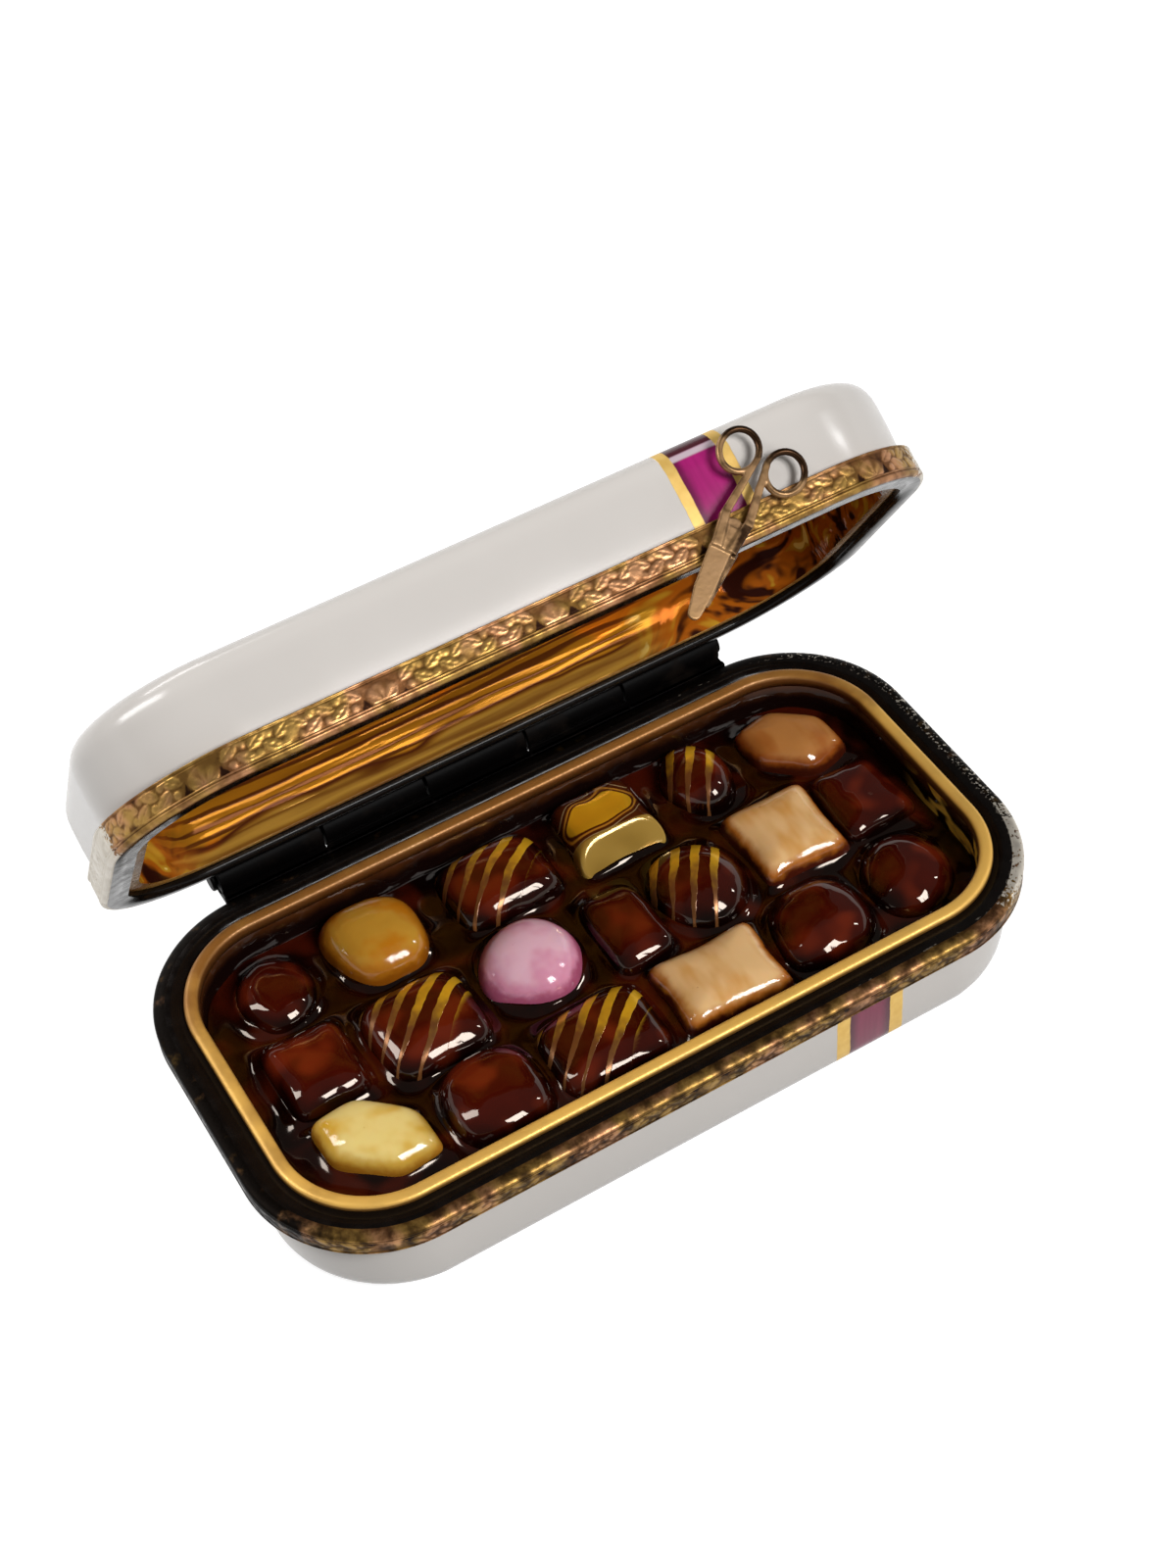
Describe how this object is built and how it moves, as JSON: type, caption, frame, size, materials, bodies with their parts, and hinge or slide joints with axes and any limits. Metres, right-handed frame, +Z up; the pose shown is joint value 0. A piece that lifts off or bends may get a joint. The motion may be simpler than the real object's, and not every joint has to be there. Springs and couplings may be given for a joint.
{
  "type": "keepsake box",
  "caption": "Hinged porcelain keepsake box made as a tray of glazed confections, with engraved bronze mounts and a scissors-shaped clasp on the lid.",
  "frame": {"origin": "middle of the tray's flat foot, on the surface that it stands on", "axes": "+Z up, +X along the box, -Y towards the clasp side, hinge at +Y"},
  "size_m": [0.082, 0.052, 0.056],
  "materials": {
    "porcelain": "glossy white glaze, warm grey in shade",
    "mount_bronze": "engraved antique gilt bronze with a polished land",
    "lip_gold": "satin gilding",
    "hinge_bronze": "dark polished bronze",
    "clasp_brass": "worn cast brass",
    "chocolate_glaze": "very glossy dark brown glaze",
    "striped_glaze": "dark brown glaze with painted gold stripes",
    "caramel_glaze": "glossy tan glaze",
    "lemon_glaze": "glossy pale yellow glaze, clouded",
    "honey_glaze": "glossy amber yellow glaze, clouded",
    "pink_glaze": "glossy pink glaze",
    "foil_gold": "bright gold lustre"
  },
  "bodies": {
    "base": {"base_shell": "porcelain", "base_mount": "mount_bronze", "base_lip": "lip_gold", "confection_bed": "chocolate_glaze", "lemon_lozenge": "lemon_glaze", "dark_dome_left": "chocolate_glaze", "striped_bar_front": "striped_glaze", "caramel_pillow_front": "caramel_glaze", "dark_dome_right": "chocolate_glaze", "dark_oval_end": "chocolate_glaze", "dark_square_left": "chocolate_glaze", "striped_square_left": "striped_glaze", "pink_dragee": "pink_glaze", "dark_square_middle": "chocolate_glaze", "striped_dome_middle": "striped_glaze", "caramel_pillow_middle": "caramel_glaze", "dark_square_end": "chocolate_glaze", "dark_oval_left": "chocolate_glaze", "honey_pillow": "honey_glaze", "striped_bar_back": "striped_glaze", "foil_square": "foil_gold", "striped_dome_back": "striped_glaze", "caramel_lozenge": "caramel_glaze", "hinge_base_leaf": "hinge_bronze", "hinge_pin": "hinge_bronze"},
    "lid": {"lid_shell": "porcelain", "lid_mount": "mount_bronze", "hinge_lid_leaf": "hinge_bronze", "scissors_clasp": "clasp_brass"}
  },
  "joints": [
    {"name": "lid_hinge", "type": "hinge", "parent": "base", "child": "lid", "pos_m": [0, 0.02435, 0.01125], "axis": [-1, 0, 0], "range_deg": [-58.2, 36.8]}
  ]
}
